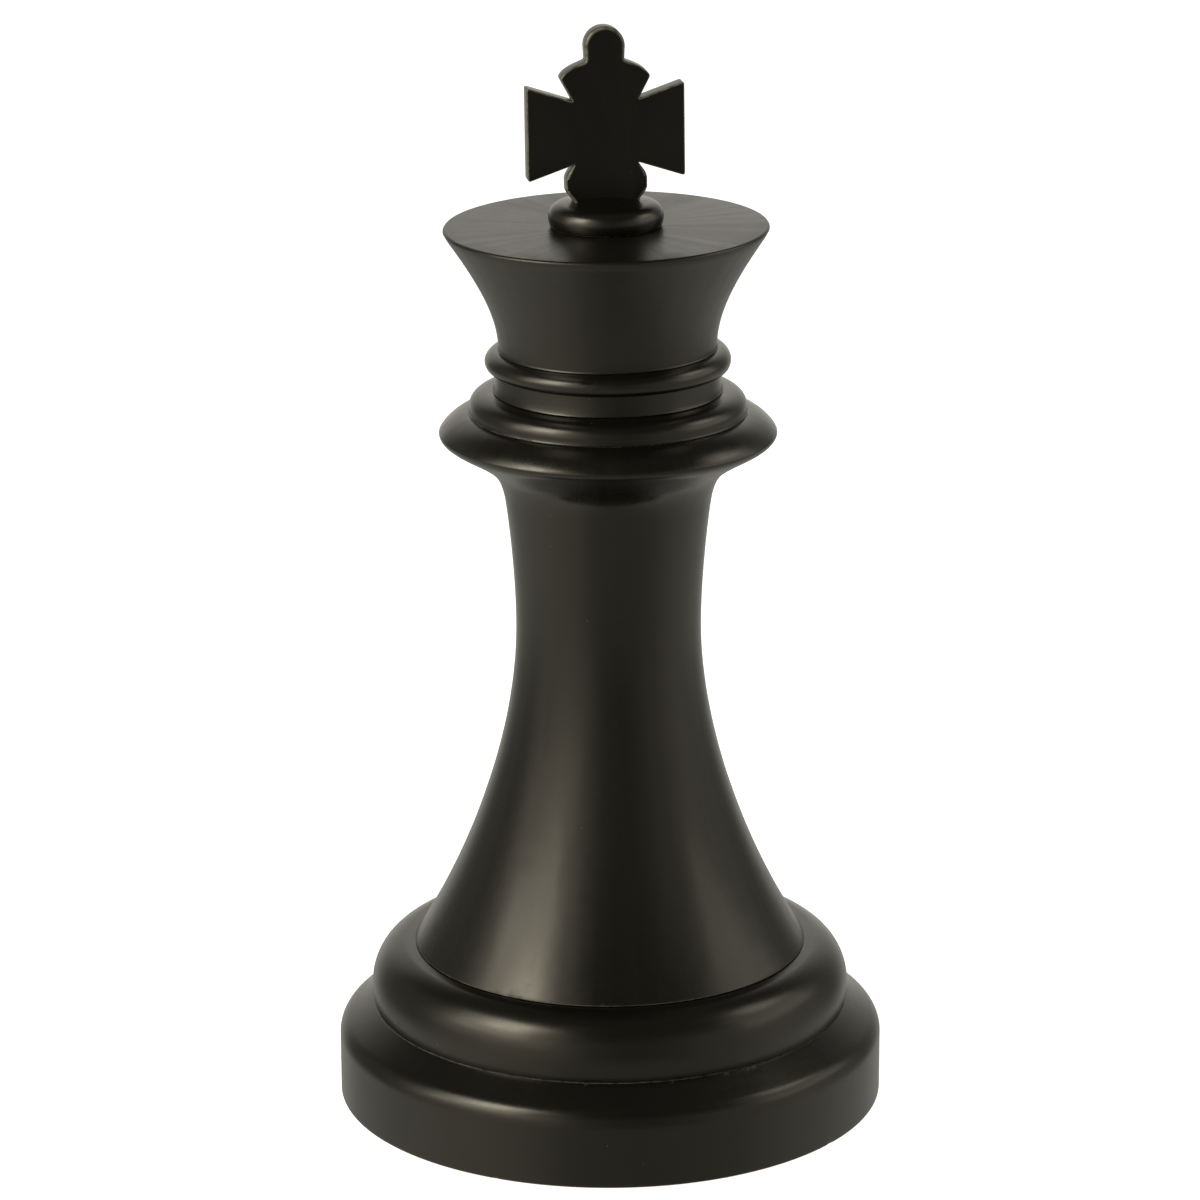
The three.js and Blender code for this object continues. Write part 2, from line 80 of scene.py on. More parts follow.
# Sizes that the frame's boxes don't show.
SPIGOT = 5  # each section stands this deep in the one below it
WALL = 4.5
SEAM = 0.3
EDGE = 0.7  # every section's edge is eased this much, which draws the hairline joints
ROD_CLEAR = 5.3  # radius of a hole round the M10 rod
SHARP_DEGREES = 38  # edges bent more than this stay sharp

BODY = "body"
FINIAL = "finial"
VIEW_AZIMUTH = -9  # the cross's left arm is nearer the camera


def turn_to_view(point):
    """Turns a point that is written for a camera looking along +Y to where the camera really is."""
    return Matrix.Rotation(math.radians(VIEW_AZIMUTH), 3, "Z") @ Vector(point)


# ---------------------------------------------------------------- outlines
def bezier(a, b, c, d, steps):
    """Points of a cubic curve, its two ends included."""
    points = []
    for i in range(steps + 1):
        t = i / steps
        s = 1 - t
        weights = (s * s * s, 3 * s * s * t, 3 * s * t * t, t * t * t)
        points.append(tuple(sum(w * p[k] for w, p in zip(weights, (a, b, c, d))) for k in (0, 1)))
    return points


def arc(centre, width, height, start, end, steps):
    """Points of an ellipse's arc between two angles in degrees."""
    angles = [math.radians(start + (end - start) * i / steps) for i in range(steps + 1)]
    return [(centre[0] + width * math.cos(a), centre[1] + height * math.sin(a)) for a in angles]


def eased(outline, steps=4):
    """A closed outline with its corners rounded: a corner is (radius, height, ease).
    Each point comes back as (radius, height, mark), where the mark is 1 on the crest of a corner: there the
    lacquer is painted paler, rubbing wear and a painted highlight in one."""
    points = []
    for i, point in enumerate(outline):
        if len(point) == 2:
            points.append((*point, 0.0))
            continue
        here = Vector(point[:2])
        before = Vector(outline[i - 1][:2]) - here
        after = Vector(outline[(i + 1) % len(outline)][:2]) - here
        reach_in = min(point[2], before.length * 0.45)
        reach_out = min(point[2], after.length * 0.45)
        start = here + before.normalized() * reach_in
        end = here + after.normalized() * reach_out
        for k in range(steps + 1):
            t = k / steps
            bend = start * (1 - t) ** 2 + here * 2 * t * (1 - t) + end * t * t
            points.append((*bend, math.sin(math.pi * t)))
    return points


def raised(outline):
    """Outlines below are written above the plinth's lower edge; this puts them above the ground."""
    return [(point[0], point[1] + LIFT, *point[2:]) for point in outline]


def toe(foot_radius, height):
    """The lacquer's fillet where a wall stands on the piece below it; it catches the light."""
    return [(foot_radius + 0.4, height), (foot_radius + 0.25, height + 0.25), (foot_radius, height + 0.9)]


# ---------------------------------------------------------------- mesh making
def new_object(name, mesh):
    obj = bpy.data.objects.new(name, mesh)
    bpy.context.scene.collection.objects.link(obj)
    return obj


def smooth_mesh(name, vertices, faces, rubs_and_highlights, sharp_degrees=SHARP_DEGREES):
    mesh = bpy.data.meshes.new(name)
    mesh.from_pydata([(x * MM, y * MM, z * MM) for x, y, z in vertices], [], faces)
    # The crest mark is kept for the lacquer, which paints those crests paler: a painted highlight as well as
    # wear.
    mesh.attributes.new("rub_and_highlight", "FLOAT", "POINT").data.foreach_set("value", rubs_and_highlights)
    mesh.shade_smooth()
    mesh.set_sharp_from_angle(angle=math.radians(sharp_degrees))
    return new_object(name, mesh)


def turned(name, outline, sides, centre=(0, 0)):
    """A solid of revolution from a closed outline that climbs outside and comes down inside."""
    outline = eased(outline)
    count = len(outline)
    vertices = []
    rubs_and_highlights = []
    rows = []
    for r, z, rub_and_highlight in outline:
        if r < 1e-6:
            rows.append([len(vertices)] * sides)
            vertices.append((centre[0], centre[1], z))
            rubs_and_highlights.append(0.0)
            continue
        rows.append(list(range(len(vertices), len(vertices) + sides)))
        rubs_and_highlights += [rub_and_highlight] * sides
        for i in range(sides):
            angle = 2 * math.pi * i / sides
            vertices.append((centre[0] + r * math.cos(angle), centre[1] + r * math.sin(angle), z))
    faces = []
    for j in range(count):
        here, above = rows[j], rows[(j + 1) % count]
        if here[0] == here[1] and above[0] == above[1]:
            continue
        for i in range(sides):
            k = (i + 1) % sides
            face = [here[i], here[k], above[k], above[i]]
            faces.append(tuple(dict.fromkeys(face)))
    return smooth_mesh(name, vertices, faces, rubs_and_highlights)


def carve(obj, *cutters):
    """Cuts the cutters out of the object and deletes them."""
    for cutter in cutters:
        cutting = obj.modifiers.new("cut", "BOOLEAN")
        cutting.operation = "DIFFERENCE"
        cutting.solver = "EXACT"
        cutting.object = cutter
    bpy.context.view_layer.update()
    evaluated = obj.evaluated_get(bpy.context.evaluated_depsgraph_get())
    carved = bpy.data.meshes.new_from_object(evaluated)
    obj.modifiers.clear()
    obj.data = carved
    carved.shade_smooth()
    carved.set_sharp_from_angle(angle=math.radians(SHARP_DEGREES))
    for cutter in cutters:
        bpy.data.objects.remove(cutter)
    return obj


def block(size, centre):
    """A box to cut with, in millimetres."""
    maker = bmesh.new()
    bmesh.ops.create_cube(maker, size=MM)
    bmesh.ops.scale(maker, vec=size, verts=maker.verts)
    bmesh.ops.translate(maker, vec=Vector(centre) * MM, verts=maker.verts)
    mesh = bpy.data.meshes.new("cutter")
    maker.to_mesh(mesh)
    maker.free()
    return new_object("cutter", mesh)


def peg(r, z0, z1, centre=(0, 0), sides=48):
    """A cylinder to cut with, in millimetres."""
    return turned("cutter", [(0, z0), (r, z0), (r, z1), (0, z1)], sides, centre)


def finish_piece(obj, body, slot_name, material, *nodes):
    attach(obj, body)
    if nodes:
        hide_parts(*nodes)
    obj.data.materials.clear()
    obj.data.materials.append(material)
    return obj


# ---------------------------------------------------------------- chips, waviness and lean
def degrees_right(x, y):
    """How far round to the right of the view a point is."""
    return math.degrees(math.atan2(x, -y)) - VIEW_AZIMUTH


def chip_edge(obj, joint_height, spots, reach=1.4, depth=0.5):
    """Ragged chips in the lacquer on a joint's edge. A spot is (from, to) in degrees to the right of
    the view, and a vertex attribute marks what is bare."""
    mesh = obj.data
    marks = mesh.attributes.get("chip") or mesh.attributes.new("chip", "FLOAT", "POINT")
    for vertex in mesh.vertices:
        x, y, z = vertex.co / MM
        away = abs(z - joint_height) / reach
        if away > 1:
            continue
        outward = Vector((x, y, 0)).normalized()
        degrees = degrees_right(x, y)
        inside = max(min(degrees - start, end - degrees) for start, end in spots)
        ragged = noise.noise(Vector((x, y, z)) * 0.9) + 0.5 * noise.noise(Vector((x, y, z)) * 2.3)
        bite = min(1.0, max(0.0, inside * 2 + 0.4 + ragged)) * max(0.0, 0.7 + ragged) * (1 - away)
        if inside > -0.5 and bite > 0:
            vertex.co -= outward * depth * min(1.0, bite) * MM
            marks.data[vertex.index].value = min(1.0, bite)


def smudge(obj, degrees, height, width, tall):
    """A polished spot, marked in a vertex attribute; degrees are to the right of the view."""
    marks = obj.data.attributes.new("smudge", "FLOAT", "POINT")
    for vertex in obj.data.vertices:
        x, y, z = vertex.co / MM
        along = math.hypot(x, y) * math.radians(degrees_right(x, y) - degrees)
        far = math.hypot(along / width, (z - height) / tall) + 0.4 * noise.noise(Vector((x, y, z)) * 0.5)
        marks.data[vertex.index].value = min(1.0, max(0.0, 2 - 2 * far))


LEAN_DEGREES = 0.6  # the crown and the finial sit this much off upright, to the left
LEAN_LOW = 443  # the lean starts at this height
LEAN_HIGH = 450  # and is whole from this one up


def lean(obj):
    """The crown was bonded on a little crooked, and what it carries leans with it."""
    towards_camera = turn_to_view((0, -1, 0))
    pivot = Vector((0, 0, LEAN_HIGH)) * MM
    for vertex in obj.data.vertices:
        share = min(1.0, max(0.0, (vertex.co.z / MM - LEAN_LOW) / (LEAN_HIGH - LEAN_LOW)))
        turn = Matrix.Rotation(math.radians(LEAN_DEGREES) * share, 3, towards_camera)
        vertex.co = turn @ (vertex.co - pivot) + pivot


def hand_finish(obj, depth=0.07, seed=0.0):
    """The slight unevenness of a hand-rubbed moulding."""
    for vertex in obj.data.vertices:
        spot = vertex.co / MM
        r = math.hypot(spot.x, spot.y)
        if r < 1:
            continue
        sway = noise.noise(Vector((spot.x, spot.y, spot.z * 0.6 + seed)) * 0.03)
        ripple = noise.noise(Vector((spot.x, spot.y, spot.z + seed)) * 0.11)
        push = depth * (sway + 0.35 * ripple) * MM
        vertex.co += Vector((spot.x / r, spot.y / r, 0)) * push


# ---------------------------------------------------------------- node helpers
class Tree:
    """A short way to write shader nodes."""

    def __init__(self, tree):
        self.tree = tree

    def add(self, kind, **settings):
        node = self.tree.nodes.new(kind)
        for key, value in settings.items():
            setattr(node, key, value)
        return node

    def feed(self, socket, value):
        if isinstance(value, bpy.types.NodeSocket):
            self.tree.links.new(value, socket)
        else:
            socket.default_value = value

    def math(self, operation, a, b):
        node = self.add("ShaderNodeMath", operation=operation)
        for socket, value in zip(node.inputs, (a, b)):
            self.feed(socket, value)
        return node.outputs[0]

    def scaled(self, vector, scale):
        node = self.add("ShaderNodeMapping")
        self.feed(node.inputs["Vector"], vector)
        node.inputs["Scale"].default_value = scale
        return node.outputs[0]

    def noise(self, vector, scale, detail=3.0, rough=0.5, distortion=0.0):
        node = self.add("ShaderNodeTexNoise")
        self.feed(node.inputs["Vector"], vector)
        node.inputs["Scale"].default_value = scale
        node.inputs["Detail"].default_value = detail
        node.inputs["Roughness"].default_value = rough
        node.inputs["Distortion"].default_value = distortion
        return node.outputs["Fac"]

    def spots(self, vector, scale):
        node = self.add("ShaderNodeTexVoronoi")
        self.feed(node.inputs["Vector"], vector)
        node.inputs["Scale"].default_value = scale
        return node

    def remap(self, value, from_low, from_high, to_low, to_high, curve="LINEAR"):
        node = self.add("ShaderNodeMapRange", interpolation_type=curve)
        for socket, number in zip(node.inputs, (value, from_low, from_high, to_low, to_high)):
            self.feed(socket, number)
        return node.outputs[0]

    def mix(self, factor, a, b):
        node = self.add("ShaderNodeMix", data_type="RGBA")
        self.feed(node.inputs[0], factor)
        self.feed(node.inputs[6], a)
        self.feed(node.inputs[7], b)
        return node.outputs[2]

    def blend(self, *heights):
        """The sum of several (height, weight) pairs."""
        total = None
        for height, weight in heights:
            part = self.math("MULTIPLY", height, weight)
            total = part if total is None else self.math("ADD", total, part)
        return total

    def pair(self, a, b):
        node = self.add("ShaderNodeCombineXYZ")
        self.feed(node.inputs[0], a)
        self.feed(node.inputs[1], b)
        return node.outputs[0]


class Nodes(Tree):
    """A procedural material."""

    def __init__(self, name):
        self.material = bpy.data.materials.new(name)
        self.material.use_nodes = True
        super().__init__(self.material.node_tree)
        self.shader = self.tree.nodes["Principled BSDF"]
        self.place = self.add("ShaderNodeTexCoord").outputs["Object"]

    def attribute(self, name):
        """What was marked on the mesh's vertices under this name."""
        return self.add("ShaderNodeAttribute", attribute_name=name).outputs["Fac"]

    def swing(self, value):
        """A noise stretched to run from -1 to 1."""
        return self.remap(value, 0.3, 0.7, -1.0, 1.0)

    def bump(self, height, distance_mm):
        node = self.add("ShaderNodeBump")
        self.feed(node.inputs["Height"], height)
        node.inputs["Distance"].default_value = distance_mm * MM
        self.feed(self.shader.inputs["Normal"], node.outputs[0])

    def set(self, **values):
        names = {"color": "Base Color", "roughness": "Roughness", "metallic": "Metallic",
                 "specular": "Specular IOR Level"}
        for key, value in values.items():
            self.feed(self.shader.inputs[names[key]], value)

    def around(self):
        """Angle about the axis and height, as two sockets."""
        parts = self.add("ShaderNodeSeparateXYZ")
        self.feed(parts.inputs[0], self.place)
        angle = self.math("ARCTAN2", parts.outputs[1], parts.outputs[0])
        return angle, parts.outputs[2]


def rgb(r, g, b):
    return (r, g, b, 1.0)


# ---------------------------------------------------------------- materials
LACQUER_DARK = (0.0030, 0.0027, 0.0019)
LACQUER_LIGHT = (0.0052, 0.0047, 0.0034)
LACQUER_SHEEN = rgb(1.0, 0.93, 0.80)
DUSTY_GREY = rgb(0.10, 0.095, 0.08)
# Pale lacquer for the crests of eased edges: rubbing wear, and a painted highlight where the edges catch the
# light.
RUBBED_EDGE_AND_HIGHLIGHT = rgb(0.17, 0.155, 0.12)


def black_lacquer(name, streaks=0.25, bands=0.25, painted_shading=1.0, gloss=0.5, haziness=0.25):
    """Sprayed satin black: warm, a little mottled, with rubbing marks, dust and chipped edges; its eased
    crests carry a painted highlight, and a darker copy carries painted shading.
    """
    n = Nodes(name)
    cloud = n.noise(n.place, 9.0, 4.0)
    mottle = n.noise(n.place, 240.0, 2.0)
    peel = n.noise(n.place, 620.0, 2.0)
    angle, height = n.around()
    level = n.pair(n.math("MULTIPLY", angle, 1.3), n.math("MULTIPLY", height, 620.0))
    upright = n.pair(n.math("MULTIPLY", angle, 11.0), n.math("MULTIPLY", height, 3.0))
    rings = n.noise(level, 1.0, 3.0)
    drawn = n.noise(upright, 1.0, 2.0)
    dust = n.spots(n.place, 150.0)
    chance = n.add("ShaderNodeSeparateColor")
    n.feed(chance.inputs[0], dust.outputs["Color"])
    picked = n.math("GREATER_THAN", chance.outputs[0], 0.93)
    speck = n.math("MULTIPLY", n.math("LESS_THAN", dust.outputs["Distance"], 0.05), picked)

    # A factor below 1 gives a darker copy of the lacquer: painted shading standing in for less light falling
    # on it.
    dark = rgb(*(painted_shading * part for part in LACQUER_DARK))
    light = rgb(*(painted_shading * part for part in LACQUER_LIGHT))
    paint = n.mix(n.remap(cloud, 0.35, 0.65, 0.0, 1.0), dark, light)
    dusty = n.mix(n.math("MULTIPLY", speck, 0.75), paint, DUSTY_GREY)
    chips = n.attribute("chip")
    # Crests of eased edges get the pale colour: partly rubbing wear, partly a painted highlight along the
    # joints and the cross's edges.
    rubbed = n.math("MULTIPLY", n.attribute("rub_and_highlight"), n.remap(mottle, 0.3, 0.6, 0.3, 0.9))
    worn = n.mix(rubbed, dusty, RUBBED_EDGE_AND_HIGHLIGHT)
    bare = n.mix(n.remap(chips, 0.2, 0.9, 0.0, 0.7), worn, DUSTY_GREY)

    haze = n.blend((n.swing(cloud), 0.02), (n.swing(mottle), 0.012),
                   (n.swing(rings), 0.05 * streaks), (n.swing(drawn), 0.05 * bands))
    matt = n.blend((chips, 0.3), (n.attribute("smudge"), -0.13))
    rough = n.math("ADD", n.math("ADD", haze, haziness), matt)
    n.set(color=bare, roughness=rough, specular=gloss)
    n.shader.inputs["Specular Tint"].default_value = LACQUER_SHEEN
    relief = n.blend((peel, 0.006), (mottle, 0.015), (rings, 0.005 * streaks), (drawn, 0.15 * bands))
    n.bump(relief, 0.1)
    return n.material


def plywood():
    """Exterior ply: long grain, darker pores and a dull varnish."""
    n = Nodes("plywood_looks")
    grain = n.noise(n.scaled(n.place, (9.0, 160.0, 160.0)), 1.0, 5.0, 0.6, 0.6)
    fibre = n.noise(n.scaled(n.place, (60.0, 1500.0, 1500.0)), 1.0, 2.0)
    height = n.around()[1]
    plies = n.math("PINGPONG", height, 0.003)
    pale = n.mix(n.remap(grain, 0.3, 0.7, 0.0, 1.0), rgb(0.26, 0.15, 0.07), rgb(0.50, 0.33, 0.17))
    toned = n.mix(n.remap(fibre, 0.35, 0.6, 0.45, 0.0), pale, rgb(0.14, 0.08, 0.04))
    edge = n.mix(n.remap(plies, 0.0012, 0.0018, 0.0, 0.35), toned, rgb(0.20, 0.11, 0.05))
    n.set(color=edge, roughness=n.remap(grain, 0.3, 0.7, 0.62, 0.8))
    n.bump(n.blend((grain, 0.5), (fibre, 0.5)), 0.15)
    return n.material


def beech():
    """Pale dowel with flecks along its length."""
    n = Nodes("beech_looks")
    fleck = n.noise(n.scaled(n.place, (700.0, 700.0, 60.0)), 1.0, 3.0)
    n.set(color=n.mix(n.remap(fleck, 0.35, 0.65, 0.0, 1.0), rgb(0.55, 0.36, 0.20), rgb(0.38, 0.22, 0.11)),
          roughness=n.remap(fleck, 0.3, 0.7, 0.55, 0.7))
    n.bump(fleck, 0.05)
    return n.material


def rubber():
    """Dull black rubber with a fine open texture and grey scuffs."""
    n = Nodes("rubber_looks")
    grit = n.noise(n.place, 1400.0, 3.0)
    scuff = n.noise(n.place, 22.0, 5.0, 0.65)
    worn = n.remap(scuff, 0.52, 0.72, 0.0, 0.7)
    n.set(color=n.mix(worn, rgb(0.012, 0.012, 0.013), rgb(0.05, 0.048, 0.044)),
          roughness=n.remap(scuff, 0.4, 0.7, 0.78, 0.92), specular=0.3)
    n.bump(n.blend((grit, 1.0), (scuff, 0.4)), 0.08)
    return n.material


def zinc_steel():
    """Bright zinc plate: a fine crystalline mottle and turning marks."""
    n = Nodes("zinc_steel_looks")
    crystal = n.spots(n.place, 700.0).outputs["Distance"]
    stain = n.noise(n.place, 60.0, 4.0, 0.6)
    turning = n.noise(n.scaled(n.place, (40.0, 40.0, 2600.0)), 1.0, 2.0)
    tone = n.mix(n.remap(crystal, 0.0, 0.8, 0.0, 1.0), rgb(0.42, 0.43, 0.44), rgb(0.58, 0.58, 0.57))
    n.set(color=n.mix(n.remap(stain, 0.55, 0.8, 0.0, 0.6), tone, rgb(0.26, 0.22, 0.17)),
          roughness=n.remap(stain, 0.3, 0.75, 0.28, 0.5), metallic=1.0)
    n.bump(n.blend((turning, 0.6), (crystal, 0.4)), 0.03)
    return n.material


def brass():
    """Turned brass, a little tarnished."""
    n = Nodes("brass_looks")
    turning = n.noise(n.scaled(n.place, (40.0, 40.0, 2400.0)), 1.0, 2.0)
    tarnish = n.noise(n.place, 90.0, 4.0, 0.6)
    n.set(color=n.mix(n.remap(tarnish, 0.4, 0.75, 0.0, 0.8), rgb(0.66, 0.46, 0.17), rgb(0.30, 0.18, 0.07)),
          roughness=n.remap(tarnish, 0.3, 0.75, 0.25, 0.5), metallic=1.0)
    n.bump(turning, 0.03)
    return n.material


def sand():
    """Coarse sand, each grain of its own tint."""
    n = Nodes("sand_looks")
    grains = n.spots(n.place, 900.0)
    tint = n.mix(0.35, rgb(0.44, 0.34, 0.21), grains.outputs["Color"])
    n.set(color=n.mix(n.remap(n.noise(n.place, 30.0), 0.4, 0.7, 0.0, 0.5), tint, rgb(0.25, 0.18, 0.1)),
          roughness=0.95)
    n.bump(grains.outputs["Distance"], 0.3)
    return n.material


def black_moulding():
    """Grained black plastic of the filler plug and its bush."""
    n = Nodes("black_moulding_looks")
    grain = n.spots(n.place, 1300.0).outputs["Distance"]
    wear = n.noise(n.place, 45.0, 4.0, 0.6)
    n.set(color=n.mix(n.remap(wear, 0.5, 0.75, 0.0, 0.6), rgb(0.022, 0.022, 0.023), rgb(0.06, 0.058, 0.054)),
          roughness=n.remap(wear, 0.3, 0.7, 0.45, 0.62))
    n.bump(n.blend((grain, 1.0), (wear, 0.3)), 0.05)
    return n.material


LACQUER = black_lacquer("black_lacquer_looks")
STEM_LACQUER = black_lacquer("stem_lacquer_looks", streaks=0.2, bands=0.7)
# The cross gets a darker copy of the lacquer: painted shading that darkens its face.
CROSS_SHADED_LACQUER = black_lacquer("cross_shaded_lacquer_looks", painted_shading=0.5, gloss=0.36)
TOP_LACQUER = black_lacquer("crown_lacquer_looks", streaks=0.4, bands=0.5, haziness=0.33)
PLYWOOD = plywood()
BEECH = beech()
RUBBER = rubber()
STEEL = zinc_steel()
BRASS = brass()
SAND = sand()
MOULDING = black_moulding()
BLACK = "black_lacquer"


# ---------------------------------------------------------------- plinth and base ring
PLINTH_TOP_RADIUS = 138.8
PLINTH_BORE = 118
FLANGE = 6
RING_RADIUS = radius("base_ring")
RING_WIDEST = 66
RING_ROUND = 22
RING_BORE = 98
FINE = 512  # facets of a large section
SHOULDER_DEGREES = 32
CORNER = 13
WALL_TOP = 35


def plinth():
    joint = RING_Z - LIFT
    turn = 90 - SHOULDER_DEGREES
    centre = (PLINTH_RADIUS - CORNER, WALL_TOP)
    inner = CORNER - WALL
    wall = [(PLINTH_RADIUS, 3 + 5 * i) for i in range(7)]
    round_end = arc(centre, CORNER, CORNER, turn, turn, 1)[0]
    shoulder = [(round_end[0] + (PLINTH_TOP_RADIUS - round_end[0]) * t,
                 round_end[1] + (joint - round_end[1]) * t) for t in (0.2, 0.4, 0.6, 0.8)]
    outline = [
        (PLINTH_RADIUS, 0, 0.9),
        *wall,
        *arc(centre, CORNER, CORNER, 0, turn, 16),
        *shoulder,
        (PLINTH_TOP_RADIUS, joint, EDGE),
        (PLINTH_BORE, joint),
        (PLINTH_BORE, joint - FLANGE),
        (PLINTH_TOP_RADIUS - WALL / 2, joint - FLANGE),
        *arc(centre, inner, inner, turn, 0, 4),
        (PLINTH_RADIUS - WALL, 0, 0.9),
    ]
    obj = turned("plinth", raised(outline), FINE)
    hand_finish(obj, seed=3.0)
    chip_edge(obj, RING_Z, ((-6, -4), (14, 16), (28, 30), (34, 37), (112, 115), (203, 208), (260, 263)))
    chip_edge(obj, LIFT, ((-25, -24), (52, 54), (141, 144), (230, 231)), reach=2)
    return finish_piece(obj, BODY, BLACK, LACQUER, "plinth_shell")


def base_ring():
    joint = RING_Z - LIFT
    upper = STEM_Z - LIFT
    low_edge = joint + SEAM
    centre = (RING_RADIUS - RING_ROUND, RING_WIDEST)
    foot_degrees = 17.5
    foot_drop = (RING_WIDEST - low_edge) / math.sin(math.radians(foot_degrees))
    foot = arc(centre, RING_ROUND, foot_drop, -foot_degrees, 0, 10)
    outline = [
        (*foot[0], EDGE),
        *foot[1:],
        *arc(centre, RING_ROUND, upper - RING_WIDEST, 0, 84, 40)[1:],
        (RING_BORE, upper - 0.1),
        (RING_BORE, upper - FLANGE),
        (RING_RADIUS - RING_ROUND + 6, upper - FLANGE),
        (RING_RADIUS - WALL - 3, upper - FLANGE - 9),
        (RING_RADIUS - WALL, RING_WIDEST),
        (RING_RADIUS - WALL, low_edge + FLANGE),
        (PLINTH_BORE - WALL, low_edge + FLANGE),
        (PLINTH_BORE - WALL, joint - SPIGOT),
        (PLINTH_BORE - SEAM, joint - SPIGOT),
        (PLINTH_BORE - SEAM, low_edge),
    ]
    obj = turned("base_ring_moulding", raised(outline), FINE)
    hand_finish(obj, seed=11.0)
    chip_edge(obj, RING_Z, ((-6, -3), (15, 17), (34, 35), (150, 153)))
    return finish_piece(obj, BODY, BLACK, LACQUER, "base_ring")


# ---------------------------------------------------------------- stem with the lower collar
STEM_FOOT_RADIUS = radius("stem_shell")
WAIST = (53.6, 286.8)
LIP = (97, 401)
COLLAR_JOINT_RADIUS = 80
COLLAR_BORE = 60


def stem():
    joint = STEM_Z - LIFT
    collar = COLLAR_Z - LIFT
    foot = (STEM_FOOT_RADIUS, joint + SEAM)
    flare = math.radians(32.5)
    pull = 52.5
    after_foot = (foot[0] - pull * math.sin(flare), foot[1] + pull * math.cos(flare))
    root = (59.6, 362.5)
    under = (72.3, 383.4)
    inner_waist = WAIST[0] - WALL
    floor = foot[1] + FLANGE
    outline = [
        (*foot, EDGE),
        *bezier(foot, after_foot, (WAIST[0], 214), WAIST, 64)[1:],
        *bezier(WAIST, (WAIST[0], 316.5), (58, 353.6), root, 22)[1:],
        *bezier(root, (61.8, 374.8), (66.2, 379), under, 14)[1:],
        *bezier(under, (85.3, 392.7), (LIP[0], 396.1), LIP, 22)[1:],
        *bezier(LIP, (LIP[0], 402.4), (90.5, 411.2), (COLLAR_JOINT_RADIUS, collar), 20)[1:-1],
        (COLLAR_JOINT_RADIUS - 0.4, collar, EDGE),
        (COLLAR_BORE, collar),
        (COLLAR_BORE, collar - WALL),
        (84, collar - WALL),
        (LIP[0] - 2 * WALL, LIP[1] + 1),
        (69, 388.5),
        (58, 376),
        *bezier((root[0] - WALL, root[1] + 1), (53.5, 354), (inner_waist, 316.5), (inner_waist, WAIST[1]), 5),
        *bezier((inner_waist, WAIST[1]), (inner_waist, 214), (81.5, 139), (104.5, floor), 12)[1:],
        (RING_BORE - WALL, floor),
        (RING_BORE - WALL, joint - SPIGOT),
        (RING_BORE - SEAM, joint - SPIGOT),
        (RING_BORE - SEAM, foot[1]),
    ]
    obj = turned("stem", raised(outline), FINE)
    hand_finish(obj, depth=0.12, seed=29.0)
    chip_edge(obj, STEM_Z, ((-38, -34), (-31, -27), (-3, -2), (61, 64), (128, 133), (222, 224)))
    return finish_piece(obj, BODY, BLACK, STEM_LACQUER, "stem_shell")


# ---------------------------------------------------------------- upper collar and neck
UPPER_COLLAR_RADIUS = radius("upper_collar")
NECK_RADIUS = 65.5
NECK_BORE = COLLAR_BORE - WALL
CROWN_SPIGOT = NECK_BORE - WALL
BEAD_RADIUS = radius("neck_ring")
BEAD_WIDEST = 443.6
CROWN_FOOT_RADIUS = 62.5
MEDIUM = 384  # facets of a collar


def upper_collar():
    joint = COLLAR_Z - LIFT
    upper = NECK_Z - LIFT
    low_edge = joint + SEAM
    wall_top = low_edge + 2.6
    outline = [
        *toe(UPPER_COLLAR_RADIUS, low_edge),
        *bezier((UPPER_COLLAR_RADIUS, wall_top), (UPPER_COLLAR_RADIUS, wall_top + 4.6),
                (NECK_RADIUS + 11.2, upper), (NECK_RADIUS - 1, upper - 0.1), 26),
        (NECK_BORE, upper - 0.1),
        (NECK_BORE, joint - SPIGOT),
        (COLLAR_BORE - SEAM, joint - SPIGOT),
        (COLLAR_BORE - SEAM, low_edge),
    ]
    obj = turned("upper_collar_moulding", raised(outline), MEDIUM)
    hand_finish(obj, depth=0.05, seed=41.0)
    chip_edge(obj, COLLAR_Z, ((-70, -62), (-55, -45), (-38, -33), (95, 99), (170, 176)), 0.8, 0.3)
    return finish_piece(obj, BODY, BLACK, LACQUER, "upper_collar")


def neck():
    joint = NECK_Z - LIFT
    upper = CROWN_Z - LIFT
    low_edge = joint + SEAM
    bead = (BEAD_RADIUS, BEAD_WIDEST)
    outline = [
        *toe(NECK_RADIUS, low_edge),
        (NECK_RADIUS - 0.3, low_edge + 2.5),
        (NECK_RADIUS - 0.6, low_edge + 5),
        *bezier((NECK_RADIUS - 0.8, 437.6), (NECK_RADIUS + 3.2, 438),
                (BEAD_RADIUS, BEAD_WIDEST - 3.4), bead, 14),
        *bezier(bead, (BEAD_RADIUS, BEAD_WIDEST + 2.5), (CROWN_FOOT_RADIUS + 5, upper),
                (CROWN_FOOT_RADIUS, upper), 14)[1:],
        (CROWN_SPIGOT, upper - 0.1),
        (CROWN_SPIGOT, joint - SPIGOT),
        (NECK_BORE - SEAM, joint - SPIGOT),
        (NECK_BORE - SEAM, low_edge),
    ]
    obj = turned("neck", raised(outline), MEDIUM)
    hand_finish(obj, depth=0.05, seed=53.0)
    smudge(obj, -10, LIFT + BEAD_WIDEST + 3.5, 5, 3)
    lean(obj)
    return finish_piece(obj, BODY, BLACK, LACQUER, "neck_ring")


# ---------------------------------------------------------------- crown
WELL_RADIUS = 18
WELL_DEPTH = 12
RIM = 1.6


